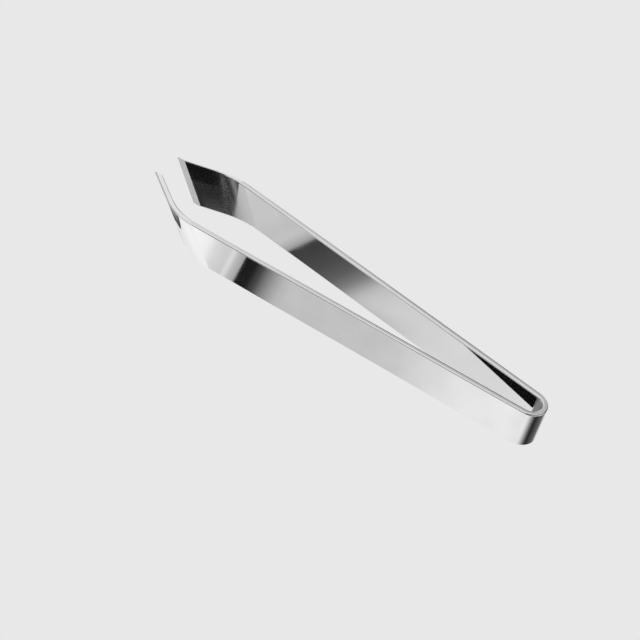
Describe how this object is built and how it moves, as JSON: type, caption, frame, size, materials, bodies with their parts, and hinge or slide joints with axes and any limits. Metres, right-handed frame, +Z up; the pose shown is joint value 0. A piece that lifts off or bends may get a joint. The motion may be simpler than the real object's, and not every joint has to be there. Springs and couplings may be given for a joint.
{
  "type": "spring tongs",
  "caption": "One-piece sprung steel strip tongs with a U-bend bow, splayed flat arms and slanted inward jaws with ground gripping lands.",
  "frame": {"origin": "centre of the outline in plan, on the plane the long edges stand on", "axes": "X along the tongs with the bow at +X and the jaw tips at -X, Y across the opening between the arms, Z up the width of the strip"},
  "size_m": [0.1198, 0.0246, 0.0126],
  "materials": {
    "polished_steel": "mirror-polished stainless spring steel"
  },
  "bodies": {
    "bow": {"spring_bow": "polished_steel"},
    "near_side": {"near_arm": "polished_steel", "near_jaw": "polished_steel"},
    "far_side": {"far_arm": "polished_steel", "far_jaw": "polished_steel"}
  },
  "joints": [
    {"name": "near_squeeze", "type": "hinge", "parent": "bow", "child": "near_side", "pos_m": [0.05572, -0.00374, 0.0054], "axis": [0, 0, -1], "range_deg": [0, 2.3], "stiffness_Nm_per_rad": 13},
    {"name": "far_squeeze", "type": "hinge", "parent": "bow", "child": "far_side", "pos_m": [0.05572, 0.00374, 0.0054], "axis": [0, 0, 1], "range_deg": [0, 2.3], "stiffness_Nm_per_rad": 13}
  ],
  "couplings": [
    {"joint": "far_squeeze", "follows": "near_squeeze", "ratio": 1}
  ]
}
